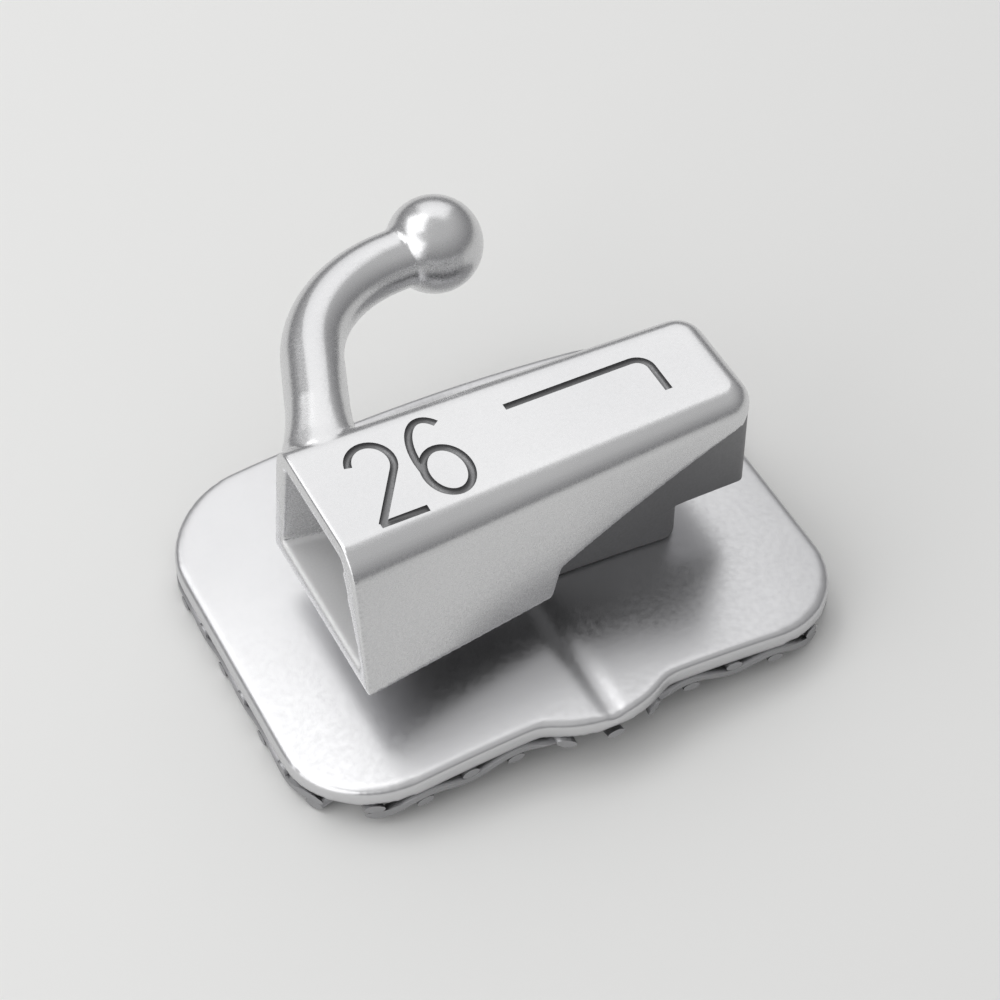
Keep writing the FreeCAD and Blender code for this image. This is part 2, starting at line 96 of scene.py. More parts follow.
class Bench:
    """Everyday moves at the modelling bench, each on one object."""

    @staticmethod
    def pick(obj: bpy.types.Object) -> None:
        """Select one object alone and make it active.

        Args:
            obj: The object that the next operators work on.
        """
        Bench.clear_selection()
        obj.select_set(True)
        bpy.context.view_layer.objects.active = obj

    @staticmethod
    def clear_selection() -> None:
        """Leave edit mode and deselect every object, so that the next primitive stands alone."""
        if bpy.context.mode != "OBJECT":
            bpy.ops.object.mode_set(mode="OBJECT")
        bpy.ops.object.select_all(action="DESELECT")

    @staticmethod
    def select_edges(obj: bpy.types.Object, test: Callable[[bmesh.types.BMEdge], bool]) -> int:
        """Enter edit mode with only the edges that a test picks selected.

        Args:
            obj: The object to edit.
            test: Says for each edge whether it is wanted.

        Returns:
            How many edges were picked.
        """
        Bench.pick(obj)
        bpy.ops.object.mode_set(mode="EDIT")
        bpy.ops.mesh.select_mode(type="EDGE")
        bpy.ops.mesh.select_all(action="DESELECT")
        mesh = bmesh.from_edit_mesh(obj.data)
        picked = [edge for edge in mesh.edges if test(edge)]
        for edge in picked:
            edge.select_set(True)
        bmesh.update_edit_mesh(obj.data)
        return len(picked)

    @staticmethod
    def modify(obj: bpy.types.Object, kind: str, **settings: object) -> None:
        """Add one modifier and apply it.

        Args:
            obj: The object to change.
            kind: Blender's name for the modifier.
            settings: Values set on the modifier before it is applied.
        """
        Bench.pick(obj)
        modifier = obj.modifiers.new(kind.title(), kind)
        for name, value in settings.items():
            setattr(modifier, name, value)
        bpy.ops.object.modifier_apply(modifier=modifier.name)

    @staticmethod
    def work_in(obj: bpy.types.Object, other: bpy.types.Object, how: Join) -> None:
        """Cut another shape out of an object, or weld it on, and use the other up.

        Args:
            obj: The object that stays.
            other: The cutter or the addition, which is removed.
            how: Whether it cuts or welds.
        """
        Bench.modify(obj, "BOOLEAN", operation=how.value, solver="EXACT", object=other)
        bpy.data.objects.remove(other)

    @staticmethod
    def tumble(obj: bpy.types.Object, grid: float, passes: int) -> None:
        """Ease every edge as tumbling does.

        Args:
            obj: The sharp shape, which gets an even mesh.
            grid: The even mesh's spacing.
            passes: How often it is smoothed; more passes ease the edges more.
        """
        Bench.modify(obj, "REMESH", mode="VOXEL", voxel_size=grid, adaptivity=0.0)
        Bench.modify(obj, "SMOOTH", factor=0.5, iterations=passes)

    @staticmethod
    def loft(name: str, sections: Sequence[Sequence[Point]]) -> bpy.types.Object:
        """A closed shape through sections with the same number of corners, by extruding one face.

        Args:
            name: The new object's name.
            sections: Corner points of each section, in order along the shape.

        Returns:
            The new object.
        """
        Bench.clear_selection()
        bpy.ops.mesh.primitive_circle_add(vertices=len(sections[0]), radius=1.0, fill_type="NGON")
        obj = bpy.context.object
        obj.name = name
        bpy.ops.object.mode_set(mode="EDIT")
        mesh = bmesh.from_edit_mesh(obj.data)
        mesh.verts.ensure_lookup_table()
        for vertex, corner in zip(mesh.verts, sections[0]):
            vertex.co = corner
        bmesh.update_edit_mesh(obj.data)
        for before, after in zip(sections, sections[1:]):
            bpy.ops.mesh.extrude_region_move(TRANSFORM_OT_translate={"value": (0.0, 0.0, 0.0)})
            mesh = bmesh.from_edit_mesh(obj.data)
            for vertex in [vertex for vertex in mesh.verts if vertex.select]:
                nearest = min(range(len(before)), key=lambda at: (Vector(before[at]) - vertex.co).length)
                vertex.co = after[nearest]
            bmesh.update_edit_mesh(obj.data)
        bpy.ops.mesh.select_all(action="SELECT")
        bpy.ops.mesh.fill_holes(sides=0)
        bpy.ops.mesh.normals_make_consistent(inside=False)
        bpy.ops.object.mode_set(mode="OBJECT")
        return obj

    @staticmethod
    def close_ring(obj: bpy.types.Object, seam: Vector) -> None:
        """Drop the two end caps that meet at a ring's seam, and merge the seam.

        Args:
            obj: The lofted ring, whose first and last sections coincide.
            seam: The middle of both sections.
        """
        Bench.pick(obj)
        bpy.ops.object.mode_set(mode="EDIT")
        bpy.ops.mesh.select_mode(type="FACE")
        bpy.ops.mesh.select_all(action="DESELECT")
        mesh = bmesh.from_edit_mesh(obj.data)
        for face in mesh.faces:
            face.select_set((face.calc_center_median() - seam).length < HAIR / 10)
        bmesh.update_edit_mesh(obj.data)
        bpy.ops.mesh.delete(type="FACE")
        bpy.ops.mesh.select_mode(type="VERT")
        bpy.ops.mesh.select_all(action="SELECT")
        bpy.ops.mesh.remove_doubles(threshold=HAIR / 10)
        bpy.ops.mesh.normals_make_consistent(inside=False)
        bpy.ops.object.mode_set(mode="OBJECT")

    @staticmethod
    def slice_off(obj: bpy.types.Object, place: Point, outwards: Point) -> None:
        """Cut an object with a plane, drop what lies outside, and close the cut.

        Args:
            obj: The object to cut.
            place: A point on the plane.
            outwards: The plane's normal, towards what is dropped.
        """
        Bench.pick(obj)
        bpy.ops.object.mode_set(mode="EDIT")
        bpy.ops.mesh.select_all(action="SELECT")
        bpy.ops.mesh.bisect(plane_co=place, plane_no=outwards, use_fill=True, clear_outer=True)
        bpy.ops.object.mode_set(mode="OBJECT")

    @staticmethod
    def round_edges(obj: bpy.types.Object, test: Callable[[bmesh.types.BMEdge], bool], radius: float,
                    steps: int) -> None:
        """Round the edges that a test picks.

        Args:
            obj: The shape to round.
            test: Says which edges are rounded.
            radius: Width of the rounding from each edge.
            steps: Number of facets over the rounding.
        """
        Bench.select_edges(obj, test)
        bpy.ops.mesh.bevel(offset=radius, segments=steps, affect="EDGES", clamp_overlap=False)
        bpy.ops.object.mode_set(mode="OBJECT")

    @staticmethod
    def reshape(obj: bpy.types.Object, rule: Callable[[Vector], Point]) -> None:
        """Move every vertex by a formula.

        Args:
            obj: The object to reshape.
            rule: Gives a vertex's new place from its old one.
        """
        for vertex in obj.data.vertices:
            vertex.co = rule(vertex.co)
        obj.data.update()

    @staticmethod
    def dress(obj: bpy.types.Object, finishes: Sequence[bpy.types.Material],
              choose: Callable[[bpy.types.MeshPolygon], Skin]) -> None:
        """Give an object several finishes.

        Args:
            obj: The object to dress.
            finishes: The finishes, in the order of their numbers.
            choose: Gives a face's finish.
        """
        for finish in finishes:
            obj.data.materials.append(finish)
        for face in obj.data.polygons:
            face.material_index = choose(face).value

    @staticmethod
    def bring_to_metres(obj: bpy.types.Object) -> None:
        """Shrink a finished shape from millimetre units to metres about the origin, and settle it there.

        Args:
            obj: The finished shape.
        """
        Bench.pick(obj)
        bpy.ops.transform.resize(value=(MILLIMETRE,) * 3, center_override=(0.0, 0.0, 0.0))
        bpy.ops.object.transform_apply(location=True, rotation=True, scale=True)

    @staticmethod
    def smooth_shading(obj: bpy.types.Object, degrees: float) -> None:
        """Shade smoothly except across sharp edges.

        Args:
            obj: The object to shade.
            degrees: The least angle between faces that stays sharp.
        """
        Bench.pick(obj)
        bpy.ops.object.shade_smooth_by_angle(angle=math.radians(degrees))


def ellipse_arc(middle: Flat, reach: Flat, start: float, stop: float,
                steps: int = 20) -> list[Flat]:
    """Points along part of an ellipse.

    Args:
        middle: The ellipse's middle.
        reach: Its half width and half height.
        start: The first angle, in degrees.
        stop: The last angle, in degrees.
        steps: Number of steps between them.

    Returns:
        The points, in order.
    """
    angles = (math.radians(start + (stop - start) * step / steps) for step in range(steps + 1))
    return [(middle[0] + reach[0] * math.cos(angle), middle[1] + reach[1] * math.sin(angle))
            for angle in angles]


@dataclass(frozen=True)
class Contour:
    """The base's curve over the tooth, about a line along Y below the rim plane."""

    radius: float = 14.0
    length: float = 5.2

    @property
    def depth(self) -> float:
        """How far the curve's axis lies below the rim plane."""
        return math.sqrt(self.radius ** 2 - (self.length / 2) ** 2)

    def height(self, x: float, layer: float) -> float:
        """Height of a layer above the rim plane.

        Args:
            x: The place along the base.
            layer: The layer's distance outside the tooth side.

        Returns:
            The layer's height at that place.
        """
        return math.sqrt((self.radius + layer) ** 2 - x ** 2) - self.depth


@dataclass(frozen=True)
class Finish:
    """A bare steel finish: its colour, its gloss and its fine relief."""

    name: str
    slot: Slot
    colour: tuple[float, float, float]
    dull_colour: tuple[float, float, float]
    roughness: Flat
    grain: float
    relief: float
    cloud: float = 1.6

    def material(self) -> bpy.types.Material:
        """The finish as a node material on Object coordinates.

        Returns:
            The new material.
        """
        material = bpy.data.materials.new(self.name)
        material.use_nodes = True
        nodes, links = material.node_tree.nodes, material.node_tree.links
        shader = nodes["Principled BSDF"]
        shader.inputs["Metallic"].default_value = 1.0
        place = nodes.new("ShaderNodeTexCoord")

        clouds = nodes.new("ShaderNodeTexNoise")
        clouds.inputs["Scale"].default_value = 1.0 / (self.cloud * MILLIMETRE)
        clouds.inputs["Detail"].default_value = 5.0
        links.new(place.outputs["Object"], clouds.inputs["Vector"])
        tint = nodes.new("ShaderNodeMix")
        tint.data_type = "RGBA"
        tint.inputs[6].default_value = (*self.colour, 1.0)
        tint.inputs[7].default_value = (*self.dull_colour, 1.0)
        links.new(clouds.outputs["Fac"], tint.inputs["Factor"])
        links.new(tint.outputs[2], shader.inputs["Base Color"])

        grain = nodes.new("ShaderNodeTexNoise")
        grain.inputs["Scale"].default_value = 1.0 / (self.grain * MILLIMETRE)
        grain.inputs["Detail"].default_value = 3.0
        links.new(place.outputs["Object"], grain.inputs["Vector"])
        gloss = nodes.new("ShaderNodeMapRange")
        gloss.inputs["From Min"].default_value = 0.3
        gloss.inputs["From Max"].default_value = 0.7
        gloss.inputs["To Min"].default_value = self.roughness[0]
        gloss.inputs["To Max"].default_value = self.roughness[1]
        links.new(grain.outputs["Fac"], gloss.inputs["Value"])
        links.new(gloss.outputs["Result"], shader.inputs["Roughness"])

        bump = nodes.new("ShaderNodeBump")
        bump.inputs["Strength"].default_value = 1.0
        bump.inputs["Distance"].default_value = self.relief * MILLIMETRE
        links.new(grain.outputs["Fac"], bump.inputs["Height"])
        links.new(bump.outputs["Normal"], shader.inputs["Normal"])
        return material


CAST_FINISH = Finish("tumbled_cast_steel", Slot.CASTING, (0.74, 0.74, 0.745), (0.64, 0.64, 0.65),
                     (0.22, 0.32), grain=0.025, relief=0.0003)
# Dark colour painted into the passage, the relief, the stem and the engraved marks as painted shade, on a
# duller, rougher surface.
PAINTED_SHADE_FINISH = Finish("painted_shade_dull_recess_steel", Slot.CASTING, (0.3, 0.3, 0.305), (0.22, 0.22, 0.225),
                       (0.42, 0.55), grain=0.02, relief=0.001)
# Lighter colour painted on the funnel's upward floor as painted light, on a matt surface.
FUNNEL_PAINTED_LIGHT_FINISH = Finish("painted_light_matt_funnel_steel", Slot.CASTING, (0.82, 0.82, 0.82), (0.74, 0.74, 0.745),
                       (0.6, 0.7), grain=0.02, relief=0.0005)
PLATE_FINISH = Finish("rolled_plate_steel", Slot.PLATE, (0.72, 0.72, 0.73), (0.6, 0.6, 0.61),
                      (0.28, 0.36), grain=0.05, relief=0.0003)
CLOTH_FINISH = Finish("annealed_wire_steel", Slot.CLOTH, (0.46, 0.46, 0.47), (0.34, 0.34, 0.35),
                      (0.34, 0.5), grain=0.015, relief=0.0006)


@dataclass
class Hook:
    """The gingival hook: a round wire that leaves the wall and bends towards distal, with a ball at its end."""

    root: Point = (-1.37, 0.72, 1.89)
    wire: float = 0.56
    lean: float = 70.0
    run: float = 1.0
    sunk: float = 0.16
    bend: float = 1.3
    tail_angle: float = 5.0
    tail: float = 0.5
    ball_diameter: float = 0.9
    root_swell: float = 0.2
    roof: float = ROOF_HEIGHT
    blend: float = 0.45
    ring: int = 64
    bend_steps: int = 40
    ball_segments: int = 96
    root_steps: tuple[float, ...] = (0.0, 0.08, 0.16, 0.26, 0.4)

    def path(self) -> list[Vector]:
        """Points along the middle of the wire, from inside the wall to the middle of the ball.

        Returns:
            The points, in order.
        """
        lean, tail = math.radians(self.lean), math.radians(self.tail_angle)
        first, last = Vector((math.cos(lean), math.sin(lean), 0)), Vector((math.cos(tail), math.sin(tail), 0))
        root = Vector(self.root)
        points = [root + first * along for along in (-self.sunk, *self.root_steps)]
        knee = root + first * self.run
        middle = knee + Vector((math.sin(lean), -math.cos(lean), 0)) * self.bend
        for step in range(self.bend_steps + 1):
            heading = lean + (tail - lean) * step / self.bend_steps
            points.append(middle + Vector((-math.sin(heading), math.cos(heading), 0)) * self.bend)
        points.append(points[-1] + last * self.tail)
        return points

    def wire_shape(self) -> bpy.types.Object:
        """The wire, wider where it grows out of the wall, and level with the roof there.

        Returns:
            The closed wire.
        """
        points = self.path()
        turns = [2 * math.pi * step / self.ring for step in range(self.ring)]
        sections = []
        for index, point in enumerate(points):
            ahead = (points[min(index + 1, len(points) - 1)] - points[max(index - 1, 0)]).normalized()
            side = Vector((ahead.y, -ahead.x, 0.0))
            out = (point - Vector(self.root)).length if index else 0.0
            growth = min(out / self.blend, 1.0)
            swell = 1.0 + self.root_swell * (1.0 - growth) ** 2
            radius = self.wire / 2
            press = min(self.roof - point.z - self.wire / 2, 0.0)
            section = []
            for turn in turns:
                rise = radius * math.sin(turn) + press * (1.0 - growth) * (1.0 + math.sin(turn)) / 2
                section.append(tuple(point + side * radius * swell * math.cos(turn) + Vector((0, 0, rise))))
            sections.append(section)
        return Bench.loft("hook_wire", sections)

    def ball(self) -> bpy.types.Object:
        """The ball at the wire's end.

        Returns:
            The closed ball.
        """
        Bench.clear_selection()
        bpy.ops.mesh.primitive_uv_sphere_add(
            segments=self.ball_segments, ring_count=self.ball_segments // 2,
            radius=self.ball_diameter / 2, location=tuple(self.path()[-1]))
        ball = bpy.context.object
        bpy.ops.object.transform_apply(location=True, rotation=True, scale=True)
        return ball


@dataclass
class Marks:
    """The axis line and the tooth number, cut in the roof with a fine round tool."""

    roof: float = ROOF_HEIGHT
    tool: float = 0.042
    open_share: float = 0.94
    tool_sides: int = 8
    sink: float = 0.012
    line_start: Flat = (0.1, 0.22)
    line_corner: Flat = (1.44, 0.22)
    line_end: Flat = (1.44, -0.22)
    corner_round: float = 0.14
    number: tuple[int, ...] = (2, 6)
    digit_height: float = 0.87
    digit_width: float = 0.43
    digit_middles: tuple[Flat, ...] = ((-1.18, -0.08), (-0.64, -0.03))

    def strokes(self) -> list[list[Flat]]:
        """Every stroke, as points on the roof.

        Returns:
            The strokes: the axis line with its rounded turn, then each digit.
        """
        corner, bend = self.line_corner, self.corner_round
        turn = [(corner[0] - bend + bend * math.sin(angle), corner[1] - bend + bend * math.cos(angle))
                for angle in (math.radians(step * 11.25) for step in range(9))]
        strokes = [[self.line_start, *turn, self.line_end]]
        for digit, middle in zip(self.number, self.digit_middles):
            strokes += [[(middle[0] + across * self.digit_width, middle[1] + up * self.digit_height)
                         for across, up in stroke] for stroke in self.digit_shapes()[digit]]
        return strokes

    def digit_shapes(self) -> dict[int, list[list[Flat]]]:
        """Strokes of the digits in use, in a box from -0.5 to 0.5 both ways.

        Returns:
            The strokes of each digit.
        """
        two = [*ellipse_arc((0.0, 0.25), (0.44, 0.25), 170.0, -35.0), (-0.46, -0.5)]
        two_foot = [(-0.5, -0.5), (0.5, -0.5)]
        six_tail = [*ellipse_arc((0.04, 0.0), (0.48, 0.5), 52.0, 180.0), (-0.43, -0.12)]
        six_loop = ellipse_arc((0.0, -0.2), (0.44, 0.3), 0.0, 360.0, 48)
        return {2: [two, two_foot], 6: [six_tail, six_loop]}

    def cutters(self) -> list[bpy.types.Object]:
        """One round-nosed cutter for each stroke.

        Returns:
            The cutters.
        """
        return [self.cutter(stroke) for stroke in self.strokes()]

    def cutter(self, stroke: Sequence[Flat]) -> bpy.types.Object:
        """A thin round rod that follows a stroke, mostly sunk in the roof.

        Args:
            stroke: The stroke's points on the roof.

        Returns:
            The closed rod.
        """
        points = [Vector((x, y, self.roof - self.sink)) for x, y in stroke]
        closed = (points[0] - points[-1]).length < self.tool / 10
        tool = self.tool if closed else self.tool * self.open_share
        sections = []
        for index, point in enumerate(points):
            before = (point - points[index - 1]).normalized() if index else None
            after = (points[index + 1] - point).normalized() if index < len(points) - 1 else None
            if closed:
                before = before or (points[0] - points[-2]).normalized()
                after = after or (points[1] - points[0]).normalized()
            ahead = ((before or after) + (after or before)).normalized()
            side = Vector((ahead.y, -ahead.x, 0.0))
            turns = (math.radians(360.0 * step / self.tool_sides) for step in range(self.tool_sides))
            sections.append([tuple(point + side * tool * math.cos(turn) + Vector((0, 0, tool * math.sin(turn))))
                             for turn in turns])
        rod = Bench.loft("mark_cutter", sections)
        if closed:
            Bench.close_ring(rod, points[0])
        return rod


@dataclass
class Casting:
    """The tube's casting: flared tube, relief, stem, hook and marks. Lengths are in millimetres."""

    slot_height: float = 0.56
    slot_depth: float = 0.71
    slot_rise: float = 1.46
    roof_wall: float = 0.32
    floor_wall: float = 0.18
    side_wall: float = 0.34
    mesial_reach: float = 1.87
    distal_reach: float = 2.12
    mouth_gingival: float = 0.72
    mouth_occlusal: float = 0.78
    mouth_flare: float = 0.5
    mouth_lip: float = 0.13
    mouth_setback: float = 0.07
    funnel_length: float = 1.15
    funnel_drop: float = 0.03
    relief_start: float = 0.1
    relief_lean: float = 0.2
    relief_low: float = -0.28
    relief_high: float = 0.52
    stem_mesial: float = 1.4
    stem_distal: float = 1.5
    stem_width: float = 0.98
    stem_corner: float = 0.2
    roof_round: float = 0.22
    end_round: float = 0.26
    stations: int = 24
    rows: int = 8
    end_strip: float = 0.4
    voxel: float = 0.015
    edge_ease: float = 0.022
    eased_angle: float = 40.0
    tumbling: int = 12
    kept_faces: float = 0.43
    shading_angle: float = 60.0
    recess_margin: float = 0.03
    passage_share: float = 0.53
    first_row: float = 1.4
    funnel_round: float = 0.06
    foot_layer: float = 0.35
    contour: Contour = field(default_factory=Contour)
    hook: Hook = field(default_factory=Hook)
    marks: Marks = field(default_factory=Marks)
    finish: Finish = CAST_FINISH
    # The dark painted shade, and the funnel floor's painted light.
    painted_shade_finish: Finish = PAINTED_SHADE_FINISH
    funnel_painted_light_finish: Finish = FUNNEL_PAINTED_LIGHT_FINISH

    @property
    def roof(self) -> float:
        """The roof above the middle of the passage."""
        return self.slot_depth / 2 + self.roof_wall

    @property
    def floor(self) -> float:
        """The underside of the tube, below the middle of the passage."""
        return -self.slot_depth / 2 - self.floor_wall

    def section(self, x: float, corners: Iterable[Flat]) -> list[Point]:
        """One section of the tube at a station along X, from corners about the passage's middle."""
        return [(x, across, self.slot_rise + up) for across, up in corners]

    def build(self) -> bpy.types.Object:
        """Model the whole casting and dress it.

        Returns:
            The finished casting, in metres.
        """
        body = self.hull()
        Bench.work_in(body, self.relief_cutter(), Join.CUT)
        Bench.work_in(body, self.stem(), Join.WELD)
        Bench.work_in(body, self.funnel_cutter(), Join.CUT)
        Bench.work_in(body, self.passage_cutter(), Join.CUT)
        Bench.work_in(body, self.hook.wire_shape(), Join.WELD)
        Bench.work_in(body, self.hook.ball(), Join.WELD)
        Bench.modify(body, "BEVEL", width=self.edge_ease, segments=2, limit_method="ANGLE",
                     angle_limit=math.radians(self.eased_angle), use_clamp_overlap=False)
        Bench.tumble(body, self.voxel, self.tumbling)
        Bench.modify(body, "DECIMATE", ratio=self.kept_faces)
        # Finishes by number: tumbled steel, a dark painted shade on a dull surface, and painted light on a matt
        # surface for the funnel floor.
        finishes = [finish.material() for finish in (self.finish, self.painted_shade_finish, self.funnel_painted_light_finish)]
        Bench.dress(body, finishes, self.finish_of)
        for cutter in self.marks.cutters():
            # The engraved strokes' walls take the dark painted shade.
            Bench.dress(cutter, finishes, lambda face: Skin.RECESS)
            Bench.work_in(body, cutter, Join.CUT)
        Bench.bring_to_metres(body)
        Bench.smooth_shading(body, self.shading_angle)
        return body

    def finish_of(self, face: bpy.types.MeshPolygon) -> Skin:
        """Which finish a face gets.

        Args:
            face: A face of the casting.

        Returns:
            The dark painted-shade finish in the passage, the relief and on the stem, the funnel's lighter
            painted-light finish on its floor, and else the tumbled one.
        """
        x, y, z = face.center
        up = z - self.slot_rise
        # The stem under the tube gets the dark painted shade.
        if up < self.floor - HAIR:
            return Skin.RECESS
        faces_axis = y * face.normal.y + up * face.normal.z < 0.0
        inside_lip = y < self.mouth_gingival - self.mouth_lip / 2 and up < self.roof - self.mouth_lip / 2
        if faces_axis and inside_lip and x < self.distal_reach - self.recess_margin:
            if x < self.funnel_length - self.mesial_reach:
                # The funnel's upward floor gets the lighter painted light.
                return Skin.FUNNEL if face.normal.z > 0.5 else Skin.TUMBLED
            # The passage walls get the dark painted shade.
            if max(abs(y) / self.slot_height, abs(up) / self.slot_depth) < self.passage_share:
                return Skin.RECESS
        # The relief under the occlusal wall gets the dark painted shade.
        return Skin.RECESS if self.in_relief(face) else Skin.TUMBLED

    def in_relief(self, face: bpy.types.MeshPolygon) -> bool:
        """Whether a face lines the relief under the occlusal wall.

        Args:
            face: A face of the casting.

        Returns:
            True on the relief's ceiling, on its mesial slope and on the wall behind it.
        """
        x, y, z = face.center
        inner, reach = -self.stem_width / 2, self.distal_reach + self.side_wall - self.relief_start
        slope = (self.relief_high - self.relief_low) / reach
        under_ceiling = z - self.slot_rise < self.relief_low + slope * (x - self.relief_start) + HAIR
        along = self.relief_start - self.relief_lean < x < self.distal_reach - 2 * HAIR
        hidden_side = y > inner - self.recess_margin or face.normal.z < -0.5 or face.normal.x > 0.8
        return along and y < inner + self.recess_margin and under_ceiling and hidden_side

    def hull(self) -> bpy.types.Object:
        """The flared outside of the tube, with its roof and distal end rounded and its mouth cut on a slope.

        Returns:
            The closed hull.
        """
        station = -self.mesial_reach - self.mouth_setback
        side = self.slot_height / 2 + self.side_wall
        flare = self.mouth_flare * (self.roof - self.floor) / (self.roof - self.floor + self.floor_wall)
        mouth = ((self.mouth_gingival, self.roof), (-self.mouth_occlusal, self.roof),
                 (-self.mouth_occlusal - flare, self.floor), (self.mouth_gingival, self.floor))
        end = ((side, self.roof), (-side, self.roof), (-side, self.floor), (side, self.floor))
        mouth, end = self.with_rows(mouth), self.with_rows(end)
        last_strip = 1.0 - self.end_strip / (self.distal_reach - station)
        sections = []
        for share in (*(last_strip * step / self.stations for step in range(self.stations + 1)), 1.0):
            corners = [(near[0] + (far[0] - near[0]) * share, near[1]) for near, far in zip(mouth, end)]
            sections.append(self.section(station + (self.distal_reach - station) * share, corners))
        body = Bench.loft("tube_casting", sections)
        Bench.round_edges(body, self.is_upright_end, self.end_round, ROUND_STEPS)
        Bench.round_edges(body, self.is_roof_edge, self.roof_round, ROUND_STEPS)
        lip = (-self.mesial_reach, 0.0, self.slot_rise + self.floor)
        Bench.slice_off(body, lip, (self.floor - self.roof, 0.0, self.mouth_setback))
        return body

    def with_rows(self, corners: Sequence[Flat]) -> list[Flat]:
        """Split the occlusal wall of a section into rows, because the flare twists it.

        Args:
            corners: The section's four corners, with the occlusal wall between the second and the third.

        Returns:
            The section with the rows' corners.
        """
        top, low = Vector(corners[1]), Vector(corners[2])
        start = self.first_row * self.roof_round / (top.y - low.y)
        shares = (start + (1.0 - start) * row / self.rows for row in range(self.rows))
        return [corners[0], corners[1], *(tuple(top.lerp(low, share)) for share in shares),
                corners[2], corners[3]]

    def is_upright_end(self, edge: bmesh.types.BMEdge) -> bool:
        """Whether an edge stands upright at the distal end."""
        rise = abs(edge.verts[0].co.z - edge.verts[1].co.z)
        return rise > 0.05 and min(vertex.co.x for vertex in edge.verts) > self.distal_reach - HAIR

    def is_roof_edge(self, edge: bmesh.types.BMEdge) -> bool:
        """Whether an edge bounds the roof, away from the mouth."""
        on_roof = min(vertex.co.z for vertex in edge.verts) > self.slot_rise + self.roof - HAIR
        behind_mouth = max(vertex.co.x for vertex in edge.verts) > -self.mesial_reach
        return on_roof and behind_mouth and edge.calc_face_angle(0.0) > math.radians(30.0)

    def relief_cutter(self) -> bpy.types.Object:
        """The block that undercuts the occlusal wall back to the stem.

        Returns:
            The closed block.
        """
        inner = -self.stem_width / 2
        low = self.slot_rise + self.floor - self.floor_wall
        beyond = self.distal_reach + self.side_wall
        profile = ((self.relief_start, self.slot_rise + self.relief_low),
                   (self.relief_start - self.relief_lean, low),
                   (beyond, low), (beyond, self.slot_rise + self.relief_high))
        return Bench.loft("relief_cutter", [[(x, y, z) for x, z in profile] for y in (inner, inner - 3.0)])

    def stem(self) -> bpy.types.Object:
        """The stem, a rounded block whose foot follows the plate's curve.

        Returns:
            The closed stem.
        """
        Bench.clear_selection()
        length = self.stem_mesial + self.stem_distal
        top = self.slot_rise - self.slot_depth / 4
        middle = ((self.stem_distal - self.stem_mesial) / 2, 0.0, top / 2)
        bpy.ops.mesh.primitive_cube_add(size=1.0, location=middle, scale=(length, self.stem_width, top))
        stem = bpy.context.object
        bpy.ops.object.transform_apply(location=True, rotation=True, scale=True)
        Bench.round_edges(stem, lambda edge: abs(edge.verts[0].co.z - edge.verts[1].co.z) > top / 2,
                          self.stem_corner, 6)
        Bench.clear_selection()
        bpy.ops.mesh.primitive_cylinder_add(
            vertices=720, radius=self.contour.radius + self.foot_layer, depth=4.0,
            location=(0.0, 0.0, -self.contour.depth), rotation=(math.pi / 2, 0.0, 0.0))
        tooth = bpy.context.object
        bpy.ops.object.transform_apply(location=True, rotation=True, scale=True)
        Bench.work_in(stem, tooth, Join.CUT)
        return stem

    def funnel_cutter(self) -> bpy.types.Object:
        """The funnel behind the mouth, with its long edges eased.

        Returns:
            The closed funnel.
        """
        station = -self.mesial_reach - self.mouth_setback
        lip_roof = self.roof - self.mouth_lip
        lip_floor = -self.slot_depth / 2 - self.funnel_drop
        mouth = ((self.mouth_gingival - self.mouth_lip, lip_roof),
                 (-self.mouth_occlusal + self.mouth_lip, lip_roof),
                 (-self.mouth_occlusal - self.mouth_flare + math.sqrt(2.0) * self.mouth_lip, lip_floor),
                 (self.mouth_gingival - self.mouth_lip, lip_floor))
        sections = [self.section(station, mouth),
                    self.section(-self.mesial_reach + self.funnel_length, self.passage_corners())]
        cutter = Bench.loft("funnel_cutter", sections)
        Bench.round_edges(cutter, lambda edge: abs(edge.verts[0].co.x - edge.verts[1].co.x) > 0.5,
                          self.funnel_round, ROUND_STEPS // 2)
        return cutter

    def passage_corners(self) -> tuple[Flat, ...]:
        """Corners of the archwire passage, about its middle."""
        half_height, half_depth = self.slot_height / 2, self.slot_depth / 2
        return ((half_height, half_depth), (-half_height, half_depth),
                (-half_height, -half_depth), (half_height, -half_depth))

    def passage_cutter(self) -> bpy.types.Object:
        """The straight archwire passage."""
        corners = self.passage_corners()
        return Bench.loft("passage_cutter", [self.section(x, corners) for x in (-4.0, 4.0)])


@dataclass
class BaseOutline:
    """Plan of the bonding base: a rounded rectangle with a lobe in the middle of its occlusal edge."""

    length: float = 5.2
    width: float = 4.1
    corner: float = 0.9
    lobe_depth: float = 0.2
    lobe_span: float = 1.2
    lobe_blend: float = 0.4

    def block(self, name: str, low: float, high: float) -> bpy.types.Object:
        """An upright block with this plan.

        Args:
            name: The new object's name.
            low: Its lowest height.
            high: Its highest height.

        Returns:
            The closed block.
        """
        outline = self.points()
        return Bench.loft(name, [[(x, y, z) for x, y in outline] for z in (low, high)])

    def points(self) -> list[Flat]:
        """The outline, anticlockwise from its mesial occlusal corner.

        Returns:
            The points.
        """
        edge, blend = -self.width / 2 + self.lobe_depth, self.lobe_blend
        lobe = (self.lobe_span ** 2 / 4 + self.lobe_depth ** 2) / (2 * self.lobe_depth)
        drop = blend - edge - self.width / 2 + lobe
        aside = math.sqrt((lobe + blend) ** 2 - drop ** 2)
        lean = math.degrees(math.atan2(drop, aside))
        right, top, c = self.length / 2 - self.corner, self.width / 2 - self.corner, self.corner
        arcs = (((-right, edge + c), c, 180.0, 270.0), ((-aside, edge - blend), blend, 90.0, lean),
                ((0.0, lobe - self.width / 2), lobe, lean - 180.0, -lean),
                ((aside, edge - blend), blend, 180.0 - lean, 90.0), ((right, edge + c), c, 270.0, 360.0),
                ((right, top), c, 0.0, 90.0), ((-right, top), c, 90.0, 180.0))
        return [point for middle, radius, start, stop in arcs
                for point in ellipse_arc(middle, (radius, radius), start, stop)]


